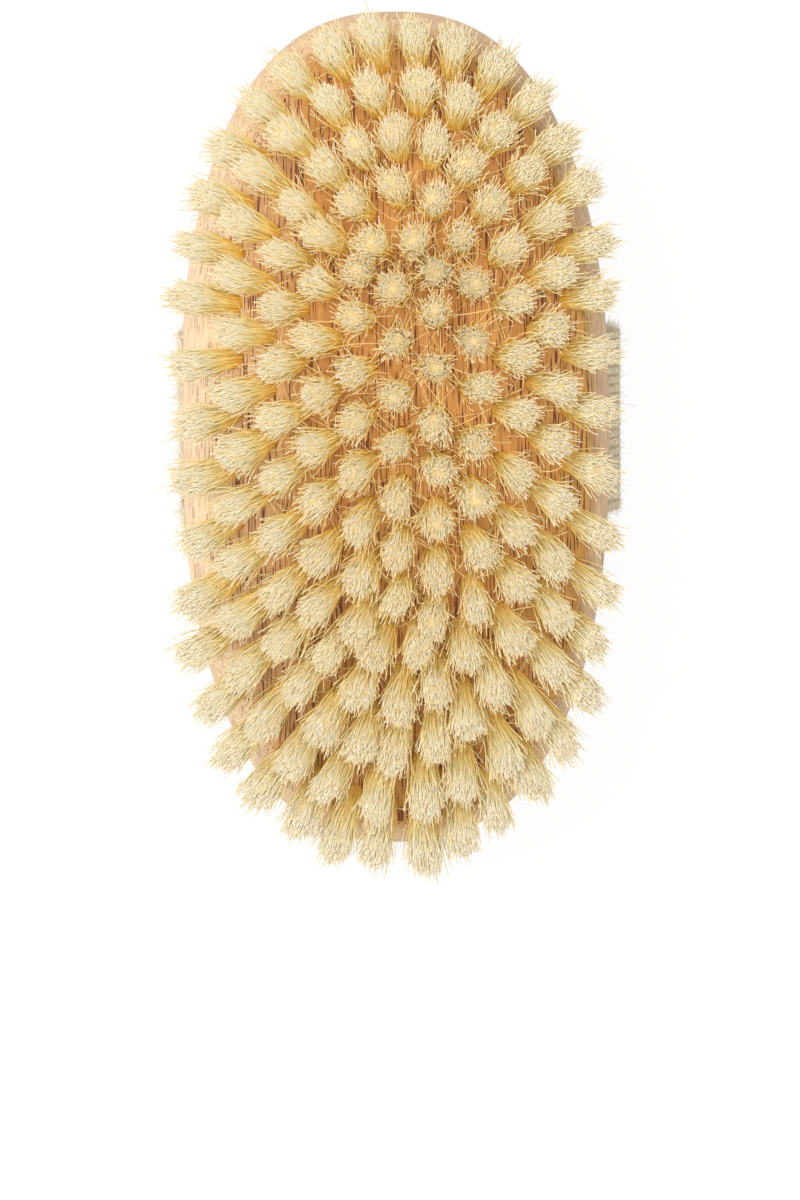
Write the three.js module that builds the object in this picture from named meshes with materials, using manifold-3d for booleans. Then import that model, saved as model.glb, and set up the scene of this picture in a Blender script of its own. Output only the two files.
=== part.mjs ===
// An oval palm body brush in millimetres, +Z up, lying on its hand strap with the tufts upward.
// The long axis is Y and the width is X. The origin is on the surface it lies on, under its centre.
// A solid wooden block carries fan-drilled rows of plant-fibre tufts on its face. A woven strap,
// nailed in a seat on each long side, passes round the back and leaves room for the hand.
import * as THREE from "three";
import { mergeVertices } from "three/addons/utils/BufferGeometryUtils.js";
import Module from "manifold-3d";

// Block
const BLOCK_LENGTH = 136;
const BLOCK_WIDTH = 70;
const BLOCK_THICKNESS = 20;
const OUTLINE_POWER = 2.4; // 2 is an ellipse, more is squarer
const OUTLINE_SIDES = 72;
const SHOULDER_INSET = 4.9; // face edge inside the widest outline
const SHOULDER_DEPTH = 9; // face down to the widest outline
const BELT_HEIGHT = 4; // upright band at the widest outline
const BACK_INSET = 11; // flat of the back inside the widest outline

// Hand strap
const STRAP_WIDTH = 30;
const STRAP_THICKNESS = 2.2;
const STRAP_END_DEPTH = 10; // strap's cut end below the face
const HAND_GAP = 20; // clear height between strap and back
const STRAP_CORNER_REACH = 17; // how far the left bend runs in from the block's side
const STRAP_SLACK = 4.4; // how far the loop sags out past the block's right side
const SLACK_HEIGHT = 15; // where the slack is widest, above the surface it lies on
const SEAT_DEPTH = 2.3; // flat cut into the block's widest outline
const SEAT_CLEARANCE = 0.5; // round the strap's edges in its seat
const BEND_STEPS = 12;

// Nails
const NAILS_PER_SIDE = 3;
const NAIL_EDGE = 5; // outer nails' centres to the strap's edges
const NAIL_HEAD_RADIUS = 2.5;
const NAIL_HEAD_HEIGHT = 0.8; // sunk flush with the strap's outside
const NAIL_SHANK_RADIUS = 0.8;
const NAIL_LENGTH = 12; // under the head
const NAIL_POINT = 2.2;
const NAIL_CLEARANCE = 0.25; // round the shank and head, under the head and past the point
const NAIL_SIDES = 12;

// Tufts
const TUFT_LENGTH = 22;
const EDGE_MARGIN = 2.75; // outermost tuft's centre to the face edge
const END_PITCH = 7.4; // between rows where they turn round the ends
const CENTRE_ROW_TUFTS = 7;
const SIDE_TUFTS = [8, 7, 6, 7, 6]; // on each straight side of rows 1 to 5
const END_TUFTS = [2, 5, 9, 10, 14]; // round each end of rows 1 to 5
const SIDE_SPACING = [0.251, 0.2455, 0.259, 0.2755, 0.2735, 0.285]; // rows 0 to 5, shares of row 1's half length
const FAN_DEPTH_ACROSS = 97; // depth under the face where the tufts' lines meet, seen from an end
const FAN_DEPTH_ALONG = 225; // the same, seen from a side
const USE_LEAN = 0.15; // slope toward -X that use has pressed into all tufts
const STRANDS_PER_TUFT = 3;
const STRAND_SIDES = 3;
const STRAND_ROOT_RADIUS = 0.8;
const STRAND_TIP_RADIUS = 0.6;
const ROOT_SPREAD = 0.9; // strand from the tuft's line at the face
const TIP_SPREAD = 1.9; // the same at the tips
const ROOT_DEPTH = 0.7; // strands sunk into the face layer
const FACE_LAYER = 2; // slice of wood that the tufts stand in
const LAYER_GAP = 0.3; // between neighbouring slices
const LAYER_END_STEPS = 10;

const backZ = STRAP_THICKNESS + HAND_GAP;
const faceZ = backZ + BLOCK_THICKNESS;
const layerZ = faceZ - FACE_LAYER;
const seatX = BLOCK_WIDTH / 2 - SEAT_DEPTH;
const strapOuterX = seatX + STRAP_THICKNESS;
const strapTopZ = faceZ - STRAP_END_DEPTH;
const beltTopZ = faceZ - SHOULDER_DEPTH;
const beltBottomZ = beltTopZ - BELT_HEIGHT;
const seatRun = Math.acos(1 - SEAT_DEPTH / BACK_INSET); // how far the back's rounding turns to reach the seat
const seatBottomZ = beltBottomZ - (beltBottomZ - backZ) * Math.sin(seatRun);
const nailZ = (strapTopZ + seatBottomZ) / 2;

const wasm = await Module();
wasm.setup();

const wood = new THREE.MeshStandardMaterial({ color: 0xc6925c, roughness: 0.6, metalness: 0 });
const fibre = new THREE.MeshStandardMaterial({ color: 0xe6d8a4, roughness: 0.8, metalness: 0 });
const webbing = new THREE.MeshStandardMaterial({ color: 0xd8c7a2, roughness: 0.95, metalness: 0 });
const brass = new THREE.MeshStandardMaterial({ color: 0xb8934a, roughness: 0.35, metalness: 1 });

function toSolid(geometry) {
  geometry.deleteAttribute("normal");
  geometry.deleteAttribute("uv");
  const merged = mergeVertices(geometry, 1e-4);
  const mesh = new wasm.Mesh({
    numProp: 3,
    vertProperties: new Float32Array(merged.attributes.position.array),
    triVerts: new Uint32Array(merged.index.array),
  });
  return new wasm.Manifold(mesh);
}

function toMesh(name, solid, material) {
  const { vertProperties, triVerts } = solid.getMesh();
  const geometry = new THREE.BufferGeometry();
  geometry.setAttribute("position", new THREE.BufferAttribute(vertProperties, 3));
  geometry.setIndex(new THREE.BufferAttribute(triVerts, 1));
  geometry.computeVertexNormals();
  const mesh = new THREE.Mesh(geometry, material);
  mesh.name = name;
  return mesh;
}

// Skins a stack of rings that all have the same number of points, lowest ring first.
function skin(rings) {
  const sides = rings[0].length;
  const points = rings.flat();
  const triangles = [];
  for (let level = 0; level < rings.length - 1; level++) {
    for (let i = 0; i < sides; i++) {
      const here = level * sides + i;
      const next = level * sides + ((i + 1) % sides);
      triangles.push(here, next, next + sides, here, next + sides, here + sides);
    }
  }
  const top = (rings.length - 1) * sides;
  for (let i = 1; i < sides - 1; i++) {
    triangles.push(0, i + 1, i, top, top + i, top + i + 1);
  }
  const geometry = new THREE.BufferGeometry().setFromPoints(points);
  geometry.setIndex(triangles);
  return geometry;
}

function outlineRing(inset, z) {
  const ring = [];
  for (let i = 0; i < OUTLINE_SIDES; i++) {
    const angle = (2 * Math.PI * i) / OUTLINE_SIDES;
    const c = Math.cos(angle);
    const s = Math.sin(angle);
    const x = (BLOCK_WIDTH / 2 - inset) * Math.sign(c) * Math.abs(c) ** (2 / OUTLINE_POWER);
    const y = (BLOCK_LENGTH / 2 - inset) * Math.sign(s) * Math.abs(s) ** (2 / OUTLINE_POWER);
    ring.push(new THREE.Vector3(x, y, z));
  }
  return ring;
}

// The whole wooden form: a rounded back, an upright belt and a shoulder sloping in to the face.
function woodenForm() {
  const rings = [];
  const roundSteps = 6;
  for (let step = roundSteps; step >= 0; step--) {
    const angle = (Math.PI / 2) * (step / roundSteps);
    const inset = BACK_INSET * (1 - Math.cos(angle));
    rings.push(outlineRing(inset, beltBottomZ - (beltBottomZ - backZ) * Math.sin(angle)));
  }
  const shoulderSteps = 4;
  for (let step = 0; step <= shoulderSteps; step++) {
    const rise = step / shoulderSteps;
    rings.push(outlineRing(SHOULDER_INSET * rise ** 1.5, beltTopZ + SHOULDER_DEPTH * rise));
  }
  return toSolid(skin(rings));
}

function box(size, centre) {
  const geometry = new THREE.BoxGeometry(size.x, size.y, size.z);
  geometry.translate(centre.x, centre.y, centre.z);
  return toSolid(geometry);
}

const form = woodenForm();
const aboveLayer = box(
  new THREE.Vector3(2 * BLOCK_WIDTH, 2 * BLOCK_LENGTH, 2 * FACE_LAYER),
  new THREE.Vector3(0, 0, layerZ + FACE_LAYER),
);
const faceLayer = form.intersect(aboveLayer);

// Nail places on one side of the block, -1 or 1.
function nailPlaces(side) {
  const places = [];
  const pitch = (STRAP_WIDTH - 2 * NAIL_EDGE) / (NAILS_PER_SIDE - 1);
  for (let i = 0; i < NAILS_PER_SIDE; i++) {
    const y = NAIL_EDGE - STRAP_WIDTH / 2 + i * pitch;
    places.push(new THREE.Vector3(side * (strapOuterX - NAIL_HEAD_HEIGHT), y, nailZ));
  }
  return places;
}

// A round cut along X from a depth under the nail's head out past the strap.
function sideDrilling(place, radius, depth) {
  const side = Math.sign(place.x);
  const length = depth + 2 * STRAP_THICKNESS;
  const geometry = new THREE.CylinderGeometry(radius, radius, length, NAIL_SIDES);
  geometry.rotateZ(-side * (Math.PI / 2));
  geometry.translate(place.x + side * (length / 2 - depth), place.y, place.z);
  return toSolid(geometry);
}

// The nail's hole, just past its point, with the dent that its head makes in the strap.
function nailDrilling(place) {
  const hole = sideDrilling(place, NAIL_SHANK_RADIUS + NAIL_CLEARANCE, NAIL_LENGTH + NAIL_CLEARANCE);
  return hole.add(sideDrilling(place, NAIL_HEAD_RADIUS + NAIL_CLEARANCE, NAIL_CLEARANCE));
}

// The flat that the strap's end seats on, open toward the back.
function strapSeat(side) {
  const height = strapTopZ + SEAT_CLEARANCE;
  return box(
    new THREE.Vector3(2 * STRAP_THICKNESS, STRAP_WIDTH + 2 * SEAT_CLEARANCE, height),
    new THREE.Vector3(side * strapOuterX, 0, height / 2),
  );
}

// The middle of the strap's thickness seen from an end: up the left seat, across and up the right one.
// The left side falls straight from its seat, and the loop's slack sags out to the right.
function strapRoute() {
  const half = STRAP_THICKNESS / 2;
  const side = seatX + half;
  const leftX = STRAP_CORNER_REACH - seatX;
  const leftZ = SLACK_HEIGHT;
  const slackX = BLOCK_WIDTH / 2 + STRAP_SLACK - half;
  const rightX = slackX - STRAP_CORNER_REACH;
  const ease = (seatBottomZ - SLACK_HEIGHT) / 2;
  const path = new THREE.Path();
  path.moveTo(-side, strapTopZ);
  path.lineTo(-side, leftZ);
  path.absellipse(leftX, leftZ, side + leftX, leftZ - half, Math.PI, 1.5 * Math.PI, false);
  path.lineTo(rightX, half);
  path.absellipse(rightX, SLACK_HEIGHT, slackX - rightX, SLACK_HEIGHT - half, -Math.PI / 2, 0, false);
  path.bezierCurveTo(slackX, SLACK_HEIGHT + ease, side, seatBottomZ - ease, side, seatBottomZ);
  path.lineTo(side, strapTopZ);
  const points = path.getPoints(BEND_STEPS);
  return points.filter((point, i) => i === 0 || point.distanceTo(points[i - 1]) > 0.01);
}

// Points at a distance to the right of a route, with its corners mitred.
function beside(route, distance) {
  return route.map((point, i) => {
    const before = i > 0 ? point.clone().sub(route[i - 1]).normalize() : null;
    const after = i < route.length - 1 ? route[i + 1].clone().sub(point).normalize() : null;
    const first = before ?? after;
    const second = after ?? before;
    const along = first.clone().add(second).normalize();
    const reach = distance / along.dot(first);
    return new THREE.Vector2(point.x + along.y * reach, point.y - along.x * reach);
  });
}

function handStrap() {
  const route = strapRoute();
  const outside = beside(route, STRAP_THICKNESS / 2);
  const inside = beside(route, -STRAP_THICKNESS / 2).reverse();
  const shape = new THREE.Shape([...outside, ...inside]);
  const geometry = new THREE.ExtrudeGeometry(shape, { depth: STRAP_WIDTH, bevelEnabled: false });
  geometry.rotateX(Math.PI / 2);
  geometry.translate(0, STRAP_WIDTH / 2, 0);
  return toSolid(geometry);
}

function nail() {
  const profile = [
    new THREE.Vector2(0, -NAIL_LENGTH),
    new THREE.Vector2(NAIL_SHANK_RADIUS, NAIL_POINT - NAIL_LENGTH),
    new THREE.Vector2(NAIL_SHANK_RADIUS, 0),
    new THREE.Vector2(NAIL_HEAD_RADIUS, 0),
    new THREE.Vector2(NAIL_HEAD_RADIUS, NAIL_HEAD_HEIGHT / 2),
    new THREE.Vector2(NAIL_HEAD_RADIUS - NAIL_HEAD_HEIGHT / 2, NAIL_HEAD_HEIGHT),
    new THREE.Vector2(0, NAIL_HEAD_HEIGHT),
  ];
  return toSolid(new THREE.LatheGeometry(profile, NAIL_SIDES));
}

// Rows of tufts: row 0 is the straight centre row, and rows 1 to 5 are ovals round it.
const rowCount = SIDE_TUFTS.length;
const rowPitch = (BLOCK_WIDTH / 2 - SHOULDER_INSET - EDGE_MARGIN) / rowCount;
const lastRowEnd = BLOCK_LENGTH / 2 - SHOULDER_INSET - EDGE_MARGIN;

function rowHalfWidth(row) {
  return rowPitch * row;
}

function rowHalfLength(row) {
  return lastRowEnd - END_PITCH * (rowCount - row);
}

function sidePitch(row) {
  return SIDE_SPACING[row] * rowHalfLength(1);
}

const centreRowEnd = ((CENTRE_ROW_TUFTS - 1) / 2) * sidePitch(0);

// Tuft centres on the face: evenly along the sides, then evenly by angle round each oval end.
function rowPlaces(row) {
  const places = [];
  if (row === 0) {
    for (let i = 0; i < CENTRE_ROW_TUFTS; i++) {
      places.push(new THREE.Vector2(0, i * sidePitch(0) - centreRowEnd));
    }
    return places;
  }
  const sideTufts = SIDE_TUFTS[row - 1];
  const endTufts = END_TUFTS[row - 1];
  const sideEnd = ((sideTufts - 1) / 2) * sidePitch(row);
  for (const side of [-1, 1]) {
    for (let i = 0; i < sideTufts; i++) {
      places.push(new THREE.Vector2(side * rowHalfWidth(row), i * sidePitch(row) - sideEnd));
    }
    for (let i = 1; i <= endTufts; i++) {
      const angle = (Math.PI * i) / (endTufts + 1);
      const reach = sideEnd + (rowHalfLength(row) - sideEnd) * Math.sin(angle);
      places.push(new THREE.Vector2(rowHalfWidth(row) * Math.cos(angle), side * reach));
    }
  }
  return places;
}

function strand(root, tip) {
  const axis = tip.clone().sub(root).normalize();
  const across = new THREE.Vector3(0, 1, 0).cross(axis).normalize();
  const along = axis.clone().cross(across);
  const ring = (centre, radius) => {
    const points = [];
    for (let i = 0; i < STRAND_SIDES; i++) {
      const angle = (2 * Math.PI * i) / STRAND_SIDES;
      const point = centre.clone();
      point.addScaledVector(across, radius * Math.cos(angle));
      point.addScaledVector(along, radius * Math.sin(angle));
      points.push(point);
    }
    return points;
  };
  return toSolid(skin([ring(root, STRAND_ROOT_RADIUS), ring(tip, STRAND_TIP_RADIUS)]));
}

// The strands of one tuft stand round its drilled line and spread toward the tips.
function tuftStrands(place) {
  const line = new THREE.Vector3(place.x / FAN_DEPTH_ACROSS, place.y / FAN_DEPTH_ALONG, 1);
  line.x -= USE_LEAN;
  const outward = Math.atan2(line.y, line.x);
  const sunk = line.clone().multiplyScalar(-ROOT_DEPTH);
  const reach = line.clone().setLength(TUFT_LENGTH);
  const strands = [];
  for (let i = 0; i < STRANDS_PER_TUFT; i++) {
    const angle = outward + (2 * Math.PI * i) / STRANDS_PER_TUFT;
    const spread = new THREE.Vector3(Math.cos(angle), Math.sin(angle), 0);
    const centre = new THREE.Vector3(place.x, place.y, faceZ);
    const root = centre.clone().add(sunk).addScaledVector(spread, ROOT_SPREAD);
    const tip = centre.clone().add(reach).addScaledVector(spread, TIP_SPREAD);
    strands.push(strand(root, tip));
  }
  return strands;
}

// An upright oval wall half-way between two rows, used to part the face layer.
function layerWall(row, growth) {
  const halfWidth = rowHalfWidth(row) + growth;
  const straight = centreRowEnd - sidePitch(0) / 4;
  const endReach = rowHalfLength(row) + growth - straight;
  const shape = new THREE.Shape();
  shape.moveTo(halfWidth, -straight);
  shape.lineTo(halfWidth, straight);
  shape.absellipse(0, straight, halfWidth, endReach, 0, Math.PI, false);
  shape.lineTo(-halfWidth, -straight);
  shape.absellipse(0, -straight, halfWidth, endReach, Math.PI, 2 * Math.PI, false);
  const settings = { depth: 4 * FACE_LAYER, bevelEnabled: false, curveSegments: LAYER_END_STEPS };
  const geometry = new THREE.ExtrudeGeometry(shape, settings);
  geometry.translate(0, 0, layerZ - FACE_LAYER);
  return toSolid(geometry);
}

// One slice of the face layer with every strand of its rows joined to it.
function tuftSlice(firstRow, lastRow) {
  let slice = faceLayer;
  if (lastRow < rowCount) {
    slice = slice.intersect(layerWall(lastRow + 0.5, -LAYER_GAP / 2));
  }
  if (firstRow > 0) {
    slice = slice.subtract(layerWall(firstRow - 0.5, LAYER_GAP / 2));
  }
  for (let row = firstRow; row <= lastRow; row++) {
    for (const place of rowPlaces(row)) {
      for (const solid of tuftStrands(place)) {
        slice = slice.add(solid);
      }
    }
  }
  return slice;
}

const brush = new THREE.Group();

let block = form.subtract(aboveLayer);
let strap = handStrap();
for (const side of [-1, 1]) {
  block = block.subtract(strapSeat(side));
  for (const place of nailPlaces(side)) {
    block = block.subtract(nailDrilling(place));
    strap = strap.subtract(nailDrilling(place));
  }
}
brush.add(toMesh("wooden_block", block, wood));
brush.add(toMesh("hand_strap", strap, webbing));

const nailSolid = nail();
for (const [name, side] of [["left", -1], ["right", 1]]) {
  nailPlaces(side).forEach((place, i) => {
    const mesh = toMesh(`strap_nail_${name}_${i + 1}`, nailSolid, brass);
    mesh.rotation.z = -side * (Math.PI / 2);
    mesh.position.copy(place);
    brush.add(mesh);
  });
}

brush.add(toMesh("tufts_centre", tuftSlice(0, 2), fibre));
brush.add(toMesh("tufts_inner_ring", tuftSlice(3, 3), fibre));
brush.add(toMesh("tufts_middle_ring", tuftSlice(4, 4), fibre));
brush.add(toMesh("tufts_outer_ring", tuftSlice(5, 5), fibre));

export default brush;
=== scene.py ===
import math
from collections import namedtuple

import bpy
import numpy as np
from mathutils import Matrix, Vector


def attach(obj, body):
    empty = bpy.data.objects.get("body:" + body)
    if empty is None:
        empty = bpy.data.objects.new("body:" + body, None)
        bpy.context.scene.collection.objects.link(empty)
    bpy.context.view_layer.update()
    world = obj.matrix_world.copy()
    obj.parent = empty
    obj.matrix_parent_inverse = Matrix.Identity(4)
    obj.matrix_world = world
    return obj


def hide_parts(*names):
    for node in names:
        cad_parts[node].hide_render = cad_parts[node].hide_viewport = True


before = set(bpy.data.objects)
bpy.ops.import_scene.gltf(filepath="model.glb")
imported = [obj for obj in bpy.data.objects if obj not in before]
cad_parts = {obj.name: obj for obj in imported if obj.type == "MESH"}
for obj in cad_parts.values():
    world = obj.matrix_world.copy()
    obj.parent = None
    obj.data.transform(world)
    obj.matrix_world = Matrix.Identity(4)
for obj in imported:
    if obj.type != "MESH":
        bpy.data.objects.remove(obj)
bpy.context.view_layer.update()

# Wooden block
# One oval of solid beech with a flat face, sloping shoulders and a rounded back, sanded and left bare.
# Its left side is painted paler, as painted light from the stronger light on that side. A seat is
# cut on each long side for the strap, and the face is drilled with one hole for each tuft.
MM = 0.001
block_length = 136 * MM
block_width = 70 * MM
outline_power = 2.4
outline_sides = 160
back_levels = 10
shoulder_levels = 8
shoulder_curve = 1.5
edge_round = 0.35 * MM
crease_angle = math.radians(28)
back_z = 22.2 * MM
face_z = 42.2 * MM
shoulder_inset = 4.9 * MM
belt_top_z = face_z - 9 * MM
belt_bottom_z = belt_top_z - 4 * MM
back_inset = 11 * MM
strap_width = 30 * MM
seat_depth = 2.3 * MM
seat_clearance = 1 * MM
strap_seat_x = block_width / 2 - seat_depth
strap_top_z = face_z - 10 * MM
hole_radius = 1.8 * MM
hole_depth = 6 * MM
hole_sides = 20
fan_across = 97 * MM
fan_along = 225 * MM
use_lean = 0.15


def deselect():
    if bpy.context.object and bpy.context.object.mode != "OBJECT":
        bpy.ops.object.mode_set(mode="OBJECT")
    bpy.ops.object.select_all(action="DESELECT")


def oval_levels():
    """Inset and height of each level of the block, from the flat of its back up to the face."""
    levels = []
    for step in range(back_levels, -1, -1):
        turn = math.pi / 2 * step / back_levels
        drop = (belt_bottom_z - back_z) * math.sin(turn)
        levels.append((back_inset * (1 - math.cos(turn)), belt_bottom_z - drop))
    for step in range(shoulder_levels + 1):
        rise = step / shoulder_levels
        height = belt_top_z + (face_z - belt_top_z) * rise
        levels.append((shoulder_inset * rise**shoulder_curve, height))
    return levels


def oval_scale(inset):
    """How far the outline shrinks across and along when its edge moves in."""
    return 1 - inset / (block_width / 2), 1 - inset / (block_length / 2)


deselect()
bpy.ops.mesh.primitive_circle_add(vertices=outline_sides, radius=1, fill_type="NGON", location=(0, 0, 0))
block = bpy.context.object
block.name = "oval_beech_block"
levels = oval_levels()
start_scale = oval_scale(levels[0][0])
for vertex in block.data.vertices:
    angle = math.atan2(vertex.co.y, vertex.co.x)
    across = math.copysign(abs(math.cos(angle)) ** (2 / outline_power), math.cos(angle))
    along = math.copysign(abs(math.sin(angle)) ** (2 / outline_power), math.sin(angle))
    vertex.co.x = across * block_width / 2 * start_scale[0]
    vertex.co.y = along * block_length / 2 * start_scale[1]
    vertex.co.z = levels[0][1]
bpy.ops.object.mode_set(mode="EDIT")
bpy.ops.mesh.select_all(action="SELECT")
for (inset_before, z_before), (inset, z) in zip(levels, levels[1:]):
    bpy.ops.mesh.extrude_region_move(TRANSFORM_OT_translate={"value": (0, 0, z - z_before)})
    before = oval_scale(inset_before)
    now = oval_scale(inset)
    growth = (now[0] / before[0], now[1] / before[1], 1)
    bpy.ops.transform.resize(value=growth, center_override=(0, 0, z))
bpy.ops.mesh.bevel(offset=edge_round, segments=2, affect="EDGES")
bpy.ops.mesh.select_all(action="SELECT")
bpy.ops.mesh.normals_make_consistent(inside=False)
bpy.ops.object.mode_set(mode="OBJECT")

row_count = 5
edge_margin = 2.75 * MM
end_pitch = 7.4 * MM
centre_row_tufts = 7
side_tufts = (8, 7, 6, 7, 6)
end_tufts = (2, 5, 9, 10, 14)
side_spacing = (0.251, 0.2455, 0.259, 0.2755, 0.2735, 0.285)
row_pitch = (block_width / 2 - shoulder_inset - edge_margin) / row_count
last_row_end = block_length / 2 - shoulder_inset - edge_margin
first_row_end = last_row_end - end_pitch * (row_count - 1)


def row_places(row):
    """Where the holes of one row lie on the face: the straight centre row, or an oval row round it."""
    pitch = side_spacing[row] * first_row_end
    if row == 0:
        return [(0.0, (i - (centre_row_tufts - 1) / 2) * pitch) for i in range(centre_row_tufts)]
    half_width = row_pitch * row
    half_length = last_row_end - end_pitch * (row_count - row)
    side_end = (side_tufts[row - 1] - 1) / 2 * pitch
    places = []
    for side in (-1, 1):
        for i in range(side_tufts[row - 1]):
            places.append((side * half_width, i * pitch - side_end))
        for i in range(end_tufts[row - 1]):
            turn = math.pi * (i + 1) / (end_tufts[row - 1] + 1)
            reach = side_end + (half_length - side_end) * math.sin(turn)
            places.append((half_width * math.cos(turn), side * reach))
    return places


def fan_line(x, y):
    """The direction that the tuft at a place on the face stands in."""
    return Vector((x / fan_across - use_lean, y / fan_along, 1)).normalized()


def cut_away(piece, cutter):
    deselect()
    bpy.context.view_layer.objects.active = piece
    piece.select_set(True)
    bpy.ops.object.modifier_add(type="BOOLEAN")
    cut = piece.modifiers[-1]
    cut.operation = "DIFFERENCE"
    cut.solver = "EXACT"
    cut.object = cutter
    bpy.ops.object.modifier_apply(modifier=cut.name)
    bpy.data.objects.remove(cutter)


deselect()
for side in (-1, 1):
    seat_middle = strap_seat_x + seat_depth
    bpy.ops.mesh.primitive_cube_add(size=1, location=(side * seat_middle, 0, strap_top_z / 2))
    seat = bpy.context.object
    seat_size = (2 * seat_depth, strap_width + seat_clearance, strap_top_z + seat_clearance)
    bpy.ops.transform.resize(value=seat_size)
    bpy.ops.object.transform_apply(location=True, rotation=True, scale=True)
    cut_away(block, seat)

deselect()
bpy.ops.mesh.primitive_cylinder_add(vertices=hole_sides, radius=hole_radius, depth=2 * hole_depth)
drill = bpy.context.object
drills = []
for row in range(row_count + 1):
    for x, y in row_places(row):
        bit = drill.copy()
        bit.data = drill.data.copy()
        turn = fan_line(x, y).to_track_quat("Z", "Y").to_matrix().to_4x4()
        bit.data.transform(Matrix.Translation((x, y, face_z)) @ turn)
        bpy.context.collection.objects.link(bit)
        drills.append(bit)
bpy.data.objects.remove(drill)
deselect()
for bit in drills:
    bit.select_set(True)
bpy.context.view_layer.objects.active = drills[0]
bpy.ops.object.join()
cut_away(block, bpy.context.object)
deselect()
block.select_set(True)
bpy.context.view_layer.objects.active = block
bpy.ops.object.shade_smooth_by_angle(angle=crease_angle)


def paint(red, green, blue):
    """A colour given as it looks on a screen, 0 to 255, as the light values that a shader takes."""
    values = []
    for value in (red, green, blue):
        share = value / 255
        values.append(share / 12.92 if share <= 0.04045 else ((share + 0.055) / 1.055) ** 2.4)
    return (*values, 1.0)


def new_material(name):
    material = bpy.data.materials.new(name)
    material.use_nodes = True
    return material, material.node_tree, material.node_tree.nodes["Principled BSDF"]


def put(tree, kind, **settings):
    node = tree.nodes.new(kind)
    for key, value in settings.items():
        setattr(node, key, value)
    return node


def ramp(tree, source, stops):
    """A colour ramp on a value, with its stops given as place and colour."""
    node = put(tree, "ShaderNodeValToRGB")
    elements = node.color_ramp.elements
    while len(elements) < len(stops):
        elements.new(0.5)
    for element, (place, colour) in zip(elements, stops):
        element.position = place
        element.color = colour
    tree.links.new(source, node.inputs["Fac"])
    return node.outputs["Color"]


def grey(value):
    return (value, value, value, 1.0)


def mix_colour(tree, kind, factor, first, second):
    """Two colours mixed; each input is a fixed value or another node's output."""
    node = put(tree, "ShaderNodeMix", data_type="RGBA", blend_type=kind)
    for socket, value in ((node.inputs[0], factor), (node.inputs[6], first), (node.inputs[7], second)):
        if hasattr(value, "is_linked"):
            tree.links.new(value, socket)
        else:
            socket.default_value = value
    return node.outputs[2]


def patch_group():
    """The soft patches of grain, soil and tarnish, which can be drawn out along a piece."""
    group = bpy.data.node_groups.new("natural_patches", "ShaderNodeTree")
    group.interface.new_socket("Stretch", in_out="INPUT", socket_type="NodeSocketVector")
    for name in ("Scale", "Detail", "Roughness"):
        group.interface.new_socket(name, in_out="INPUT", socket_type="NodeSocketFloat")
    group.interface.new_socket("Amount", in_out="OUTPUT", socket_type="NodeSocketFloat")
    given = put(group, "NodeGroupInput")
    result = put(group, "NodeGroupOutput")
    place = put(group, "ShaderNodeTexCoord")
    drawn_out = put(group, "ShaderNodeMapping")
    cloud = put(group, "ShaderNodeTexNoise")
    group.links.new(place.outputs["Object"], drawn_out.inputs["Vector"])
    group.links.new(given.outputs["Stretch"], drawn_out.inputs["Scale"])
    group.links.new(drawn_out.outputs["Vector"], cloud.inputs["Vector"])
    for name in ("Scale", "Detail", "Roughness"):
        group.links.new(given.outputs[name], cloud.inputs[name])
    group.links.new(cloud.outputs["Fac"], result.inputs["Amount"])
    return group


natural_patches = patch_group()


def patches(tree, stretch, scale, detail=3.0, roughness=0.5):
    """The patches at one scale, as one material uses them."""
    node = put(tree, "ShaderNodeGroup", node_tree=natural_patches)
    node.inputs["Stretch"].default_value = stretch
    node.inputs["Scale"].default_value = scale
    node.inputs["Detail"].default_value = detail
    node.inputs["Roughness"].default_value = roughness
    return node.outputs["Amount"]


face_tone_depth = 4 * MM
face_tone_full = 0.1 * MM
# Painted light: toward the left the wood is painted paler, standing in for the stronger light there.
painted_light_start_x = -14 * MM
painted_light_full_x = -32 * MM
painted_light_share = 0.8
pore_depth = 0.12 * MM
beech, tree, shader = new_material("bare_beech")
bands = patches(tree, (1, 0.12, 1), 90, detail=2)
face_tone = ramp(tree, bands, [(0.3, paint(204, 142, 62)), (0.7, paint(216, 164, 80))])
edge_tone = ramp(tree, bands, [(0.3, paint(218, 176, 126)), (0.7, paint(230, 196, 152))])
place = put(tree, "ShaderNodeTexCoord")
position = put(tree, "ShaderNodeSeparateXYZ")
tree.links.new(place.outputs["Object"], position.inputs["Vector"])
at_face = put(tree, "ShaderNodeMapRange")
at_face.inputs["From Min"].default_value = face_z - face_tone_depth
at_face.inputs["From Max"].default_value = face_z - face_tone_full
tree.links.new(position.outputs["Z"], at_face.inputs["Value"])
base = mix_colour(tree, "MIX", at_face.outputs["Result"], edge_tone, face_tone)
# Painted light: paler wood toward the left, in place of the stronger light from that side.
left_painted_light = put(tree, "ShaderNodeMapRange")
left_painted_light.inputs["From Min"].default_value = painted_light_start_x
left_painted_light.inputs["From Max"].default_value = painted_light_full_x
left_painted_light.inputs["To Max"].default_value = painted_light_share
tree.links.new(position.outputs["X"], left_painted_light.inputs["Value"])
base = mix_colour(tree, "MIX", left_painted_light.outputs["Result"], base, paint(240, 210, 172))
streaks = patches(tree, (1, 0.035, 1), 900, detail=4)
streak_tone = ramp(tree, streaks, [(0.3, grey(0.74)), (0.62, grey(1.0))])
base = mix_colour(tree, "MULTIPLY", 0.7, base, streak_tone)
vessels = patches(tree, (1, 0.05, 1), 4000, detail=1)
pores = ramp(tree, vessels, [(0.56, grey(0.0)), (0.63, grey(1.0))])
shown = ramp(tree, at_face.outputs["Result"], [(0.0, grey(0.5)), (1.0, grey(1.0))])
pores = mix_colour(tree, "MULTIPLY", 1.0, pores, shown)
pore_tone = mix_colour(tree, "MULTIPLY", 1.0, base, paint(146, 94, 54))
base = mix_colour(tree, "MIX", pores, base, pore_tone)
tree.links.new(base, shader.inputs["Base Color"])
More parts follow.
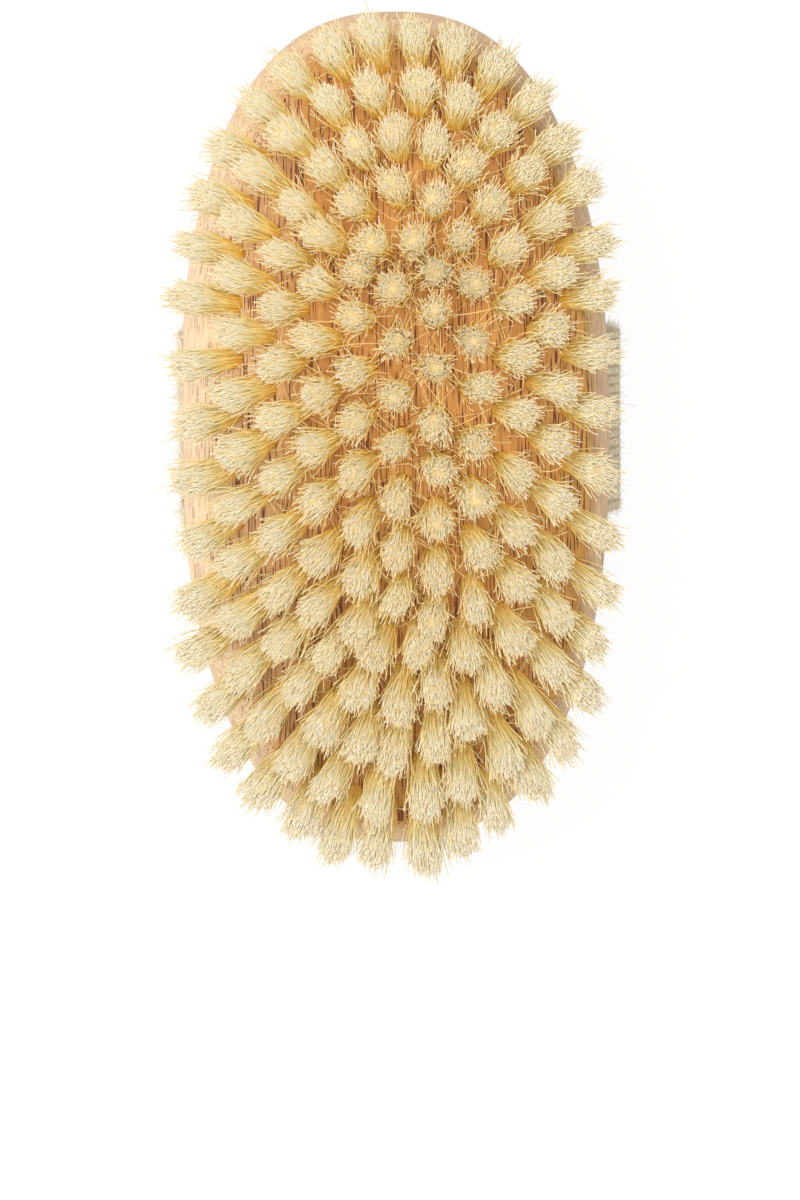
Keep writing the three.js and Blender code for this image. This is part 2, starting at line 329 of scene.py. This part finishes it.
worn = ramp(tree, streaks, [(0.3, grey(0.62)), (0.7, grey(0.48))])
tree.links.new(worn, shader.inputs["Roughness"])
dents = put(tree, "ShaderNodeBump", invert=True)
dents.inputs["Strength"].default_value = 0.3
dents.inputs["Distance"].default_value = pore_depth
tree.links.new(pores, dents.inputs["Height"])
tree.links.new(dents.outputs["Normal"], shader.inputs["Normal"])
block.data.materials.clear()
block.data.materials.append(beech)
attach(block, "root")
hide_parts("wooden_block")

# Tufts
# Bundles of stiff undyed plant fibre, folded into the drilled holes and held there by wire staples.
# Each spreads toward its trimmed tips, use has pressed them all a little to one side, and a few
# loose fibres stray over the wood between them.
tuft_length = 22 * MM
root_radius = 1.65 * MM
tip_radius = 1.98 * MM
root_depth = 2.5 * MM
fibre_width = 0.18 * MM
width_range = (0.7, 1.2)
fibres_per_tuft = 400
flare_power = 1.5
bow_power = 1.3
upward_share = 0.9
tone_columns = 64
strip_left = 0.2
strip_width = 0.6
strip_side_start = 0.005
strip_side_reach = 0.98
strip_cap_start = 0.985
strip_cap_reach = 0.012
same_height = 0.01
rng = np.random.default_rng(11)
curl_rng = np.random.default_rng(12)


def rod_form(sides, widths):
    """Points and faces of an upright rod one unit tall, with its width given at even steps."""
    deselect()
    bpy.ops.mesh.primitive_circle_add(vertices=sides, radius=0.5, fill_type="NGON", location=(0, 0, 0))
    rod = bpy.context.object
    bpy.ops.object.mode_set(mode="EDIT")
    bpy.ops.mesh.select_all(action="SELECT")
    bpy.ops.transform.resize(value=(widths[0], widths[0], 1), center_override=(0, 0, 0))
    for step in range(1, len(widths)):
        rise = 1 / (len(widths) - 1)
        growth = widths[step] / widths[step - 1]
        bpy.ops.mesh.extrude_region_move(TRANSFORM_OT_translate={"value": (0, 0, rise)})
        bpy.ops.transform.resize(value=(growth, growth, 1), center_override=(0, 0, step * rise))
    bpy.ops.mesh.select_all(action="SELECT")
    bpy.ops.mesh.normals_make_consistent(inside=False)
    bpy.ops.object.mode_set(mode="OBJECT")
    points = np.array([vertex.co for vertex in rod.data.vertices])
    faces = [list(face.vertices) for face in rod.data.polygons]
    bpy.data.objects.remove(rod)
    return points, faces


def strip_places(form):
    """Where each corner of a rod's faces lies in its own upright strip of the map."""
    form_points, form_faces = form
    along = form_points[:, 2]
    places = []
    for face in form_faces:
        heights = along[face]
        is_cap = heights.max() - heights.min() < same_height
        for i, corner in enumerate(face):
            if is_cap:
                across = i / (len(face) - 1)
                upward = strip_cap_start * along[corner] + strip_cap_reach * (i % 2)
            else:
                across = sum(1 for other in face[:i] if abs(along[other] - along[corner]) < same_height)
                upward = strip_side_start + strip_side_reach * along[corner]
            places.append((strip_left + strip_width * across, upward))
    return np.array(places)


def fibre_mesh(name, form, root, tip, bend, lean, width, tone, tone_reach=1.0):
    """One mesh of many bent rods, with a map of tone across and length along each of them."""
    form_points, form_faces = form
    count = len(root)
    along = form_points[:, 2]
    axis = tip - root
    axis /= np.linalg.norm(axis, axis=1, keepdims=True)
    first = np.cross(rng.normal(0, 1, (count, 3)), axis)
    first /= np.linalg.norm(first, axis=1, keepdims=True)
    second = np.cross(axis, first)
    middle = root[:, None] + (tip - root)[:, None] * along[None, :, None]
    middle += lean[:, None] * (along**flare_power - along)[None, :, None]
    middle += bend[:, None] * np.sin(np.pi * along**bow_power)[None, :, None]
    ring = first[:, None] * form_points[None, :, :1] + second[:, None] * form_points[None, :, 1:2]
    points = middle + ring * width[:, None, None]
    sizes = np.tile([len(face) for face in form_faces], count)
    corners = np.concatenate([np.array(face) for face in form_faces])
    corners = corners[None] + len(form_points) * np.arange(count)[:, None]
    mesh = bpy.data.meshes.new(name)
    mesh.vertices.add(points.size // 3)
    mesh.vertices.foreach_set("co", points.ravel())
    mesh.loops.add(corners.size)
    mesh.loops.foreach_set("vertex_index", corners.ravel())
    mesh.polygons.add(len(sizes))
    mesh.polygons.foreach_set("loop_start", np.concatenate([[0], np.cumsum(sizes)[:-1]]))
    mesh.update(calc_edges=True)
    mesh.polygons.foreach_set("use_smooth", np.ones(len(sizes), dtype=bool))
    facing = ring / np.linalg.norm(ring, axis=2, keepdims=True) + (0, 0, upward_share)
    facing /= np.linalg.norm(facing, axis=2, keepdims=True)
    mesh.normals_split_custom_set_from_vertices(facing.reshape(-1, 3))
    places = np.repeat(strip_places(form)[None], count, axis=0)
    column = np.floor(tone * tone_columns)
    places[:, :, 0] = (places[:, :, 0] + column[:, None]) / tone_columns
    places[:, :, 1] *= tone_reach
    mesh.uv_layers.new(name="OFBake")
    mesh.uv_layers["OFBake"].data.foreach_set("uv", places.ravel())
    piece = bpy.data.objects.new(name, mesh)
    bpy.context.collection.objects.link(piece)
    return piece


def around(count, first, second):
    """Directions at chance angles across a tuft."""
    turn = rng.random(count) * 2 * np.pi
    return np.cos(turn)[:, None] * first + np.sin(turn)[:, None] * second


Tuft = namedtuple("Tuft", "centre axis first second spread pull height")
axis_wander = 0.02
spread_wander = 0.07
height_wander = 0.018


def stand_tuft(x, y):
    """Where a tuft stands, its own direction and two across it, and its spread, flattening and height."""
    axis = np.array(fan_line(x, y)) + rng.normal(0, axis_wander, 3) * (1, 1, 0)
    axis /= np.linalg.norm(axis)
    first = np.cross((0, 1, 0), axis)
    first /= np.linalg.norm(first)
    second = np.cross(axis, first)
    spread = tip_radius * rng.normal(1.0, spread_wander)
    pull = around(1, first, second)[0]
    height = tuft_length * rng.normal(1.0, height_wander)
    return Tuft(np.array((x, y, face_z)), axis, first, second, spread, pull, height)


loose_edge = 0.25 * MM
splayed_share = 0.4
frizz = 0.8 * MM
frizz_limit = 1.6 * MM
narrowest = 0.86
widening = 0.28
shortfall = 0.07
crown_drop = 0.05 * tuft_length
curl_size = 0.22 * MM
splayed_curl = 1.8
bend_size = 0.26 * MM
splayed_bend = 1.6
bundled_bend = 0.9
curl_lean = 2
# Painted light: splayed fibres take the more golden tones, standing in for light shining through them where
# they lie in shade.
splayed_tones = (0, 0.6)
bundled_tones = (0.3, 1)


def tuft_fibres(tuft, paleness):
    """Root, tip, bend, lean, width and tone of a tuft's fibres, of which some splay out of the bundle."""
    count = fibres_per_tuft
    out = np.sqrt(rng.random(count))
    sideways = around(count, tuft.first, tuft.second)
    reach = out * tuft.spread + np.abs(rng.normal(0, loose_edge, count))
    splayed = rng.random(count) < splayed_share
    reach += np.where(splayed, np.minimum(rng.exponential(frizz, count), frizz_limit), 0)
    reach *= narrowest + widening * (sideways @ tuft.pull) ** 2
    length = tuft.height * (1 - shortfall * rng.random(count) ** 2) - crown_drop * out**3
    root = tuft.centre - tuft.axis * root_depth + sideways * (out * root_radius)[:, None]
    curl = curl_rng.normal(0, curl_size, (count, 3)) * np.where(splayed, splayed_curl, 1)[:, None]
    tip = tuft.centre + tuft.axis * length[:, None] + sideways * reach[:, None] + curl
    bend = rng.normal(0, bend_size, (count, 3)) * np.where(splayed, splayed_bend, bundled_bend)[:, None]
    lean = sideways * (reach - out * root_radius)[:, None] + curl_lean * curl
    width = fibre_width * rng.uniform(*width_range, count)
    tone = np.where(splayed, rng.uniform(*splayed_tones, count), rng.uniform(*bundled_tones, count))
    tone += paleness * (1 - tone)
    return root, tip, bend, lean, width, tone


# Painted light: a pale rod fills the middle of each tuft. It stands partly for the packed fibres there and
# partly for light shining through them, so the gaps between fibres show its colour instead of shade.
core_height_share = 0.86
core_spread_share = 1.7
core_tone = np.array([0.5])
core_tone_reach = 0.75


def tuft_core(tuft):
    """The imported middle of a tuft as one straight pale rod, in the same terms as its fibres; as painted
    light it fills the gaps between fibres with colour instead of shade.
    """
    root = (tuft.centre - tuft.axis * root_depth)[None]
    top = (tuft.centre + tuft.axis * tuft.height * core_height_share)[None]
    straight = np.zeros((1, 3))
    return root, top, straight, straight, np.array([core_spread_share * tuft.spread]), core_tone


strays_per_tuft = 6
stray_root_height = 6 * MM
stray_rise = (0.1, 0.75)
stray_length = (4 * MM, 13 * MM)
stray_clearance = 0.4 * MM
stray_bend = 2.0 * MM
stray_lift = 1.6 * MM
stray_width = 0.15 * MM


def tuft_strays(tuft, share):
    """Loose fibres that lean out of a tuft's lower part, in the same terms as its fibres."""
    count = strays_per_tuft
    sideways = around(count, tuft.first, tuft.second)
    root_height = rng.uniform(0, stray_root_height, count)
    root = tuft.centre + tuft.axis * root_height[:, None] + sideways * root_radius
    rise = rng.uniform(*stray_rise, count)
    run = np.sqrt(1 - rise**2)
    length = rng.uniform(*stray_length, count) * share
    tip = root + tuft.axis * (rise * length)[:, None] + sideways * (run * length)[:, None]
    tip[:, 2] = np.maximum(tip[:, 2], face_z + stray_clearance)
    bend = (rng.normal(0, stray_bend, (count, 3)) + tuft.axis * stray_lift) * share
    width = stray_width * rng.uniform(*width_range, count)
    return root, tip, bend, np.zeros((count, 3)), width, rng.random(count)


fine_rod = rod_form(3, (1.0, 0.97, 0.94, 0.9))
bent_rod = rod_form(3, (1.0, 1.0, 0.97, 0.94, 0.9, 0.85, 0.8))
packed_core = rod_form(10, (0.84, 0.8, 0.79, 0.82, 0.9))
row_names = ("centre", "centre", "second", "inner", "middle", "outer")
# The fibres are made paler toward the outer rows.
row_paleness = (0.0, 0.0, 0.05, 0.15, 0.25, 0.4)
stray_share = (1.0, 1.0, 1.0, 0.9, 0.6, 0.25)
fibres = {}
cores = {}
strays = []
for row in range(row_count + 1):
    for x, y in row_places(row):
        group = row_names[row] + ("_right" if x > 0 else "_left")
        tuft = stand_tuft(x, y)
        fibres.setdefault(group, []).append(tuft_fibres(tuft, row_paleness[row]))
        cores.setdefault(group, []).append(tuft_core(tuft))
        strays.append(tuft_strays(tuft, stray_share[row]))

plant_fibre, tree, shader = new_material("plant_fibre")
strip_map = put(tree, "ShaderNodeUVMap", uv_map="OFBake")
parts = put(tree, "ShaderNodeSeparateXYZ")
tree.links.new(strip_map.outputs["UV"], parts.inputs["Vector"])
# The fibres run from golden at the root to pale at the tip. The golden lower part is partly their own
# colour and partly painted light: brighter than that colour, standing in for light shining through the
# fibres and lifting the shade between them.
fibre_colour_and_painted_light = ramp(
    tree,
    parts.outputs["Y"],
    [
        (0.0, paint(222, 160, 56)),
        (0.12, paint(240, 195, 90)),
        (0.35, paint(243, 212, 126)),
        (0.6, paint(231, 212, 152)),
        (0.8, paint(225, 214, 178)),
        (1.0, paint(227, 220, 202)),
    ],
)
column = put(tree, "ShaderNodeMath", operation="MULTIPLY")
column.inputs[1].default_value = tone_columns
tree.links.new(parts.outputs["X"], column.inputs[0])
whole = put(tree, "ShaderNodeMath", operation="FLOOR")
tree.links.new(column.outputs[0], whole.inputs[0])
share = put(tree, "ShaderNodeMath", operation="DIVIDE")
share.inputs[1].default_value = tone_columns
tree.links.new(whole.outputs[0], share.inputs[0])
tone = ramp(
    tree,
    share.outputs[0],
    [(0.0, paint(249, 222, 160)), (0.35, paint(253, 242, 212)), (0.98, paint(255, 255, 255))],
)
fibre_colour_and_painted_light = mix_colour(tree, "MULTIPLY", 1.0, fibre_colour_and_painted_light, tone)
tree.links.new(fibre_colour_and_painted_light, shader.inputs["Base Color"])
shader.inputs["Roughness"].default_value = 0.6

nodes = {
    "centre": "tufts_centre",
    "second": "tufts_centre",
    "inner": "tufts_inner_ring",
    "middle": "tufts_middle_ring",
    "outer": "tufts_outer_ring",
}
for group in fibres:
    tufts = fibre_mesh(f"tufts_{group}_row", fine_rod, *map(np.concatenate, zip(*fibres[group])))
    core_values = map(np.concatenate, zip(*cores[group]))
    core = fibre_mesh("core", packed_core, *core_values, tone_reach=core_tone_reach)
    deselect()
    core.select_set(True)
    tufts.select_set(True)
    bpy.context.view_layer.objects.active = tufts
    bpy.ops.object.join()
    tufts.data.materials.append(plant_fibre)
    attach(tufts, "root")
    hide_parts(nodes[group.split("_")[0]])

loose = fibre_mesh("stray_fibres", bent_rod, *map(np.concatenate, zip(*strays)))
golden, tree, shader = new_material("golden_fibre")
shader.inputs["Base Color"].default_value = paint(236, 214, 150)
shader.inputs["Roughness"].default_value = 0.6
loose.data.materials.append(golden)
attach(loose, "root")

# Hand strap
# A band of undyed cotton webbing, cut to length and nailed in the seats on the block's sides.
# It passes round the back with room for a hand, its slack sags out on the right, and its edges are fuzzy.
strap_thickness = 2.2 * MM
strap_corner_reach = 17 * MM
strap_slack = 4.4 * MM
slack_z = 15 * MM
seat_turn = math.acos(1 - seat_depth / back_inset)
seat_bottom_z = belt_bottom_z - (belt_bottom_z - back_z) * math.sin(seat_turn)
warp_pitch = 1.5 * MM
weft_pitch = 1.25 * MM
yarn_rise = 0.2 * MM
yarn_flatness = 0.4
weft_height = 0.85
fuzz_height = 0.1 * MM
across_steps = 80
along_steps = 380
route_steps = 300


def strap_route(count):
    """Points along the middle of the strap's thickness, down the left seat, across and up the right one."""
    half = strap_thickness / 2
    side_x = strap_seat_x + half
    slack_x = block_width / 2 + strap_slack - half
    share = np.linspace(0, 1, count)[:, None]
    turn = share * math.pi / 2
    left_wall = (-side_x, strap_top_z) + share * (0, slack_z - strap_top_z)
    left_centre = (strap_corner_reach - strap_seat_x, slack_z)
    left_size = (side_x + left_centre[0], slack_z - half)
    left_bend = left_centre - np.concatenate([np.cos(turn), np.sin(turn)], axis=1) * left_size
    right_centre = (slack_x - strap_corner_reach, slack_z)
    right_turn = np.concatenate([np.sin(turn), -np.cos(turn)], axis=1)
    right_bend = right_centre + right_turn * (strap_corner_reach, slack_z - half)
    eased = share**2 * (3 - 2 * share)
    sag_x = slack_x + (side_x - slack_x) * eased
    sag = np.concatenate([sag_x, slack_z + (seat_bottom_z - slack_z) * share], axis=1)
    right_wall = (side_x, seat_bottom_z) + share * (0, strap_top_z - seat_bottom_z)
    return np.concatenate([left_wall, left_bend[1:], right_bend, sag[1:], right_wall[1:]])


route = strap_route(route_steps)
steps = np.linalg.norm(np.diff(route, axis=0), axis=1)
travel = np.concatenate([[0], np.cumsum(steps)])
strap_length = float(travel[-1])


def places_along(at):
    """Points on the strap's middle line at given lengths along it."""
    x = np.interp(at, travel, route[:, 0])
    z = np.interp(at, travel, route[:, 1])
    return np.stack([x, np.zeros(len(at)), z], axis=1)


deselect()
bpy.ops.mesh.primitive_grid_add(x_subdivisions=across_steps, y_subdivisions=along_steps, size=1)
strap = bpy.context.object
strap.name = "woven_hand_strap"
flat_points = np.empty(len(strap.data.vertices) * 3)
strap.data.vertices.foreach_get("co", flat_points)
flat_points = flat_points.reshape(-1, 3)
across = flat_points[:, 0] * strap_width
along = (flat_points[:, 1] + 0.5) * strap_length
laid = places_along(along)
laid[:, 1] = across
strap.data.vertices.foreach_set("co", laid.ravel())
strap.data.update()
yarn_height = strap.data.attributes.new("yarn_height", "FLOAT", "POINT")
cell_across = across / warp_pitch
cell_along = along / weft_pitch
over = (np.floor(cell_across) + np.floor(cell_along)) % 2
bow_across = np.cos(np.pi * (cell_across % 1 - 0.5))
bow_along = np.cos(np.pi * (cell_along % 1 - 0.5))
warp_yarns = bow_across * bow_along**yarn_flatness
weft_yarns = weft_height * bow_along * bow_across**yarn_flatness
yarn_height.data.foreach_set("value", np.where(over == 0, warp_yarns, weft_yarns))
bpy.ops.object.modifier_add(type="SOLIDIFY")
strap.modifiers[-1].thickness = strap_thickness - 2 * yarn_rise
strap.modifiers[-1].offset = 0
bpy.ops.object.modifier_apply(modifier=strap.modifiers[-1].name)
bpy.ops.object.mode_set(mode="EDIT")
bpy.ops.mesh.select_all(action="SELECT")
bpy.ops.mesh.normals_make_consistent(inside=False)
bpy.ops.object.mode_set(mode="OBJECT")
count = len(strap.data.vertices)
points = np.empty(count * 3)
normals = np.empty(count * 3)
rise = np.empty(count)
strap.data.vertices.foreach_get("co", points)
strap.data.vertices.foreach_get("normal", normals)
strap.data.attributes["yarn_height"].data.foreach_get("value", rise)
points = points.reshape(-1, 3) + normals.reshape(-1, 3) * (rise * yarn_rise)[:, None]
points[:, 2] = np.maximum(points[:, 2], 0)
strap.data.vertices.foreach_set("co", points.ravel())
strap.data.update()
bpy.ops.object.shade_smooth()

webbing, tree, shader = new_material("cotton_webbing")
# Painted shade: the webbing is painted darker where its yarns dip, on top of the real relief of the weave.
yarns = put(tree, "ShaderNodeAttribute", attribute_name="yarn_height")
webbing_colour_and_shade = ramp(
    tree,
    yarns.outputs["Fac"],
    [(0.0, paint(178, 146, 98)), (0.45, paint(214, 194, 154)), (1.0, paint(232, 218, 186))],
)
fuzz = patches(tree, (1, 1, 1), 2500, detail=3, roughness=0.7)
fuzz_tone = ramp(tree, fuzz, [(0.3, grey(0.75)), (0.7, grey(1.0))])
soil = patches(tree, (1, 1, 1), 60, detail=3)
soil_tone = ramp(tree, soil, [(0.35, grey(0.85)), (0.65, grey(1.0))])
webbing_colour_and_shade = mix_colour(tree, "MULTIPLY", 0.8, webbing_colour_and_shade, fuzz_tone)
webbing_colour_and_shade = mix_colour(tree, "MULTIPLY", 0.7, webbing_colour_and_shade, soil_tone)
tree.links.new(webbing_colour_and_shade, shader.inputs["Base Color"])
shader.inputs["Roughness"].default_value = 0.95
shader.inputs["Sheen Weight"].default_value = 0.3
raised = put(tree, "ShaderNodeBump")
raised.inputs["Strength"].default_value = 0.4
raised.inputs["Distance"].default_value = fuzz_height
tree.links.new(fuzz, raised.inputs["Height"])
tree.links.new(raised.outputs["Normal"], shader.inputs["Normal"])
strap.data.materials.append(webbing)

lint_count = 5200
lint_edge_share = 0.55
lint_through = 0.45 * strap_thickness
lint_edge_depth = 0.1 * MM
lint_face_depth = 0.15 * MM
lint_scatter = 0.75
lint_length = (0.35 * MM, 0.95 * MM)
lint_clearance = 0.1 * MM
lint_bend = 0.15 * MM
lint_width = (0.05 * MM, 0.11 * MM)
crosswise = np.array((0.0, 1.0, 0.0))
at = rng.random(lint_count) * strap_length
middle = places_along(at)
forward = places_along(at + MM) - places_along(at - MM)
forward /= np.linalg.norm(forward, axis=1, keepdims=True)
outward = np.stack([forward[:, 2], np.zeros(lint_count), -forward[:, 0]], axis=1)
selvedge = np.where(rng.random(lint_count) < 0.5, -1.0, 1.0)[:, None] * crosswise
on_edge = (np.arange(lint_count) < lint_edge_share * lint_count)[:, None]
through = rng.uniform(-lint_through, lint_through, lint_count)[:, None]
width_place = rng.uniform(-strap_width / 2, strap_width / 2, lint_count)[:, None] * crosswise
edge_root = middle + outward * through + selvedge * (strap_width / 2 - lint_edge_depth)
face_root = middle + outward * (strap_thickness / 2 - lint_face_depth) + width_place
root = np.where(on_edge, edge_root, face_root)
away = np.where(on_edge, selvedge, outward) + rng.normal(0, lint_scatter, (lint_count, 3))
tip = root + away * rng.uniform(*lint_length, lint_count)[:, None]
tip[:, 2] = np.maximum(tip[:, 2], lint_clearance)
bend = rng.normal(0, lint_bend, (lint_count, 3)) * (1, 1, 0)
lean = np.zeros((lint_count, 3))
width = rng.uniform(*lint_width, lint_count)
lint = fibre_mesh("strap_lint", fine_rod, root, tip, bend, lean, width, rng.random(lint_count))
cotton, tree, shader = new_material("cotton_lint")
shader.inputs["Base Color"].default_value = paint(232, 220, 194)
shader.inputs["Roughness"].default_value = 0.9
lint.data.materials.append(cotton)
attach(lint, "root")
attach(strap, "root")
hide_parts("hand_strap")

# Strap nails
# Small brass-plated nails with flat heads, three through each end of the strap into the block.
# Each is driven until its head is sunk flush with the face of the webbing.
nail_head_radius = 2.5 * MM
nail_head_height = 0.8 * MM
nail_shank_radius = 0.8 * MM
nail_length = 12 * MM
nail_point = 2.2 * MM
nail_point_share = 0.08
nail_head_round = 0.25 * MM
nail_sides = 32
nail_crease_angle = math.radians(40)
nails_per_end = 3
nail_pitch = 10 * MM
level_facing = 0.9
nail_z = (strap_top_z + seat_bottom_z) / 2

deselect()
bpy.ops.mesh.primitive_cylinder_add(
    vertices=nail_sides,
    radius=nail_head_radius,
    depth=nail_head_height,
    location=(0, 0, nail_head_height / 2),
)
nail = bpy.context.object
bpy.ops.object.transform_apply(location=True, rotation=True, scale=True)
for face in nail.data.polygons:
    face.select = face.normal.z > level_facing
bpy.ops.object.mode_set(mode="EDIT")
bpy.ops.mesh.select_mode(type="FACE")
bpy.ops.mesh.bevel(offset=nail_head_round, segments=3, affect="EDGES")
bpy.ops.mesh.select_all(action="DESELECT")
bpy.ops.object.mode_set(mode="OBJECT")
for face in nail.data.polygons:
    face.select = face.normal.z < -level_facing
bpy.ops.object.mode_set(mode="EDIT")
bpy.ops.mesh.inset(thickness=nail_head_radius - nail_shank_radius)
bpy.ops.mesh.extrude_region_move(TRANSFORM_OT_translate={"value": (0, 0, nail_point - nail_length)})
bpy.ops.mesh.extrude_region_move(TRANSFORM_OT_translate={"value": (0, 0, -nail_point)})
point_size = (nail_point_share, nail_point_share, 1)
bpy.ops.transform.resize(value=point_size, center_override=(0, 0, -nail_length))
bpy.ops.object.mode_set(mode="OBJECT")
bpy.ops.object.shade_smooth_by_angle(angle=nail_crease_angle)

plated_brass, tree, shader = new_material("plated_brass")
tarnish = patches(tree, (1, 1, 1), 700, detail=4)
brass_colour = ramp(tree, tarnish, [(0.35, paint(150, 118, 66)), (0.65, paint(206, 172, 104))])
tree.links.new(brass_colour, shader.inputs["Base Color"])
brass_gloss = ramp(tree, tarnish, [(0.35, grey(0.45)), (0.65, grey(0.26))])
tree.links.new(brass_gloss, shader.inputs["Roughness"])
shader.inputs["Metallic"].default_value = 1.0
nail.data.materials.append(plated_brass)
for side_name, side in (("left", -1), ("right", 1)):
    for i in range(nails_per_end):
        copy = nail.copy()
        copy.data = nail.data.copy()
        copy.name = f"flat_nail_{side_name}_{i + 1}"
        turn = Matrix.Rotation(side * math.pi / 2, 4, "Y")
        head_x = side * (strap_seat_x + strap_thickness - nail_head_height)
        head_y = (i - (nails_per_end - 1) / 2) * nail_pitch
        copy.data.transform(Matrix.Translation((head_x, head_y, nail_z)) @ turn)
        bpy.context.collection.objects.link(copy)
        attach(copy, "root")
        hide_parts(f"strap_nail_{side_name}_{i + 1}")
bpy.data.objects.remove(nail)

# Table, light and camera
# The brush lies on a plain white table in a white room, under soft light from the upper left and a little
# from the near end. The camera looks down on the bristles from slightly left and beyond the far end.
table_size = 6
table_white_share = 0.92
room_light = 0.42
deselect()
bpy.ops.mesh.primitive_plane_add(size=table_size, location=(0, 0, 0))
table = bpy.context.object
table.name = "white_table"
white, tree, shader = new_material("white_table")
shader.inputs["Base Color"].default_value = grey(0.85)
shader.inputs["Roughness"].default_value = 0.9
plain_white = put(tree, "ShaderNodeEmission")
blend = put(tree, "ShaderNodeMixShader")
ray = put(tree, "ShaderNodeLightPath")
mirrored = put(tree, "ShaderNodeMath", operation="MAXIMUM")
tree.links.new(ray.outputs["Is Glossy Ray"], mirrored.inputs[0])
tree.links.new(ray.outputs["Is Transmission Ray"], mirrored.inputs[1])
seen = put(tree, "ShaderNodeMath", operation="MAXIMUM")
tree.links.new(ray.outputs["Is Camera Ray"], seen.inputs[0])
tree.links.new(mirrored.outputs[0], seen.inputs[1])
share = put(tree, "ShaderNodeMath", operation="MULTIPLY")
share.inputs[1].default_value = table_white_share
tree.links.new(seen.outputs[0], share.inputs[0])
tree.links.new(share.outputs[0], blend.inputs["Fac"])
tree.links.new(shader.outputs["BSDF"], blend.inputs[1])
tree.links.new(plain_white.outputs["Emission"], blend.inputs[2])
tree.links.new(blend.outputs["Shader"], tree.nodes["Material Output"].inputs["Surface"])
table.data.materials.append(white)

world = bpy.data.worlds.new("white_room")
world.use_nodes = True
background = world.node_tree.nodes["Background"]
background.inputs["Color"].default_value = grey(1.0)
background.inputs["Strength"].default_value = room_light
bpy.context.scene.world = world


def soft_lamp(name, place, size, power):
    """A square area lamp, aimed at the middle of the bristle face."""
    data = bpy.data.lights.new(name, "AREA")
    data.size = size
    data.energy = power
    lamp = bpy.data.objects.new(name, data)
    lamp.location = place
    lamp.rotation_euler = (Vector((0, 0, face_z)) - Vector(place)).to_track_quat("-Z", "Y").to_euler()
    bpy.context.collection.objects.link(lamp)


soft_lamp("key_lamp", (-0.3, 0.22, 1.1), 0.4, 6.1)
soft_lamp("fill_lamp", (-0.03, 0.12, 1.3), 0.4, 7.1)
soft_lamp("side_lamp", (-0.9, 0.2, 0.45), 0.5, 3.6)
soft_lamp("near_lamp", (0.1, -0.9, 0.35), 0.6, 2)

view_distance = 0.75
view_tilt = math.radians(7.4)
view_side = math.radians(-5.2)
view_turn = math.radians(-0.5)
view_width = 0.1974
aim = Vector((0.0005, -0.0280, 0.031))
camera_data = bpy.data.cameras.new("camera")
camera_data.lens = camera_data.sensor_width * view_distance / view_width
camera = bpy.data.objects.new("camera", camera_data)
camera.rotation_euler = (-view_tilt, view_side, view_turn)
camera.location = aim + camera.rotation_euler.to_matrix() @ Vector((0, 0, view_distance))
bpy.context.collection.objects.link(camera)
bpy.context.scene.camera = camera
bpy.context.scene.view_settings.view_transform = "Standard"
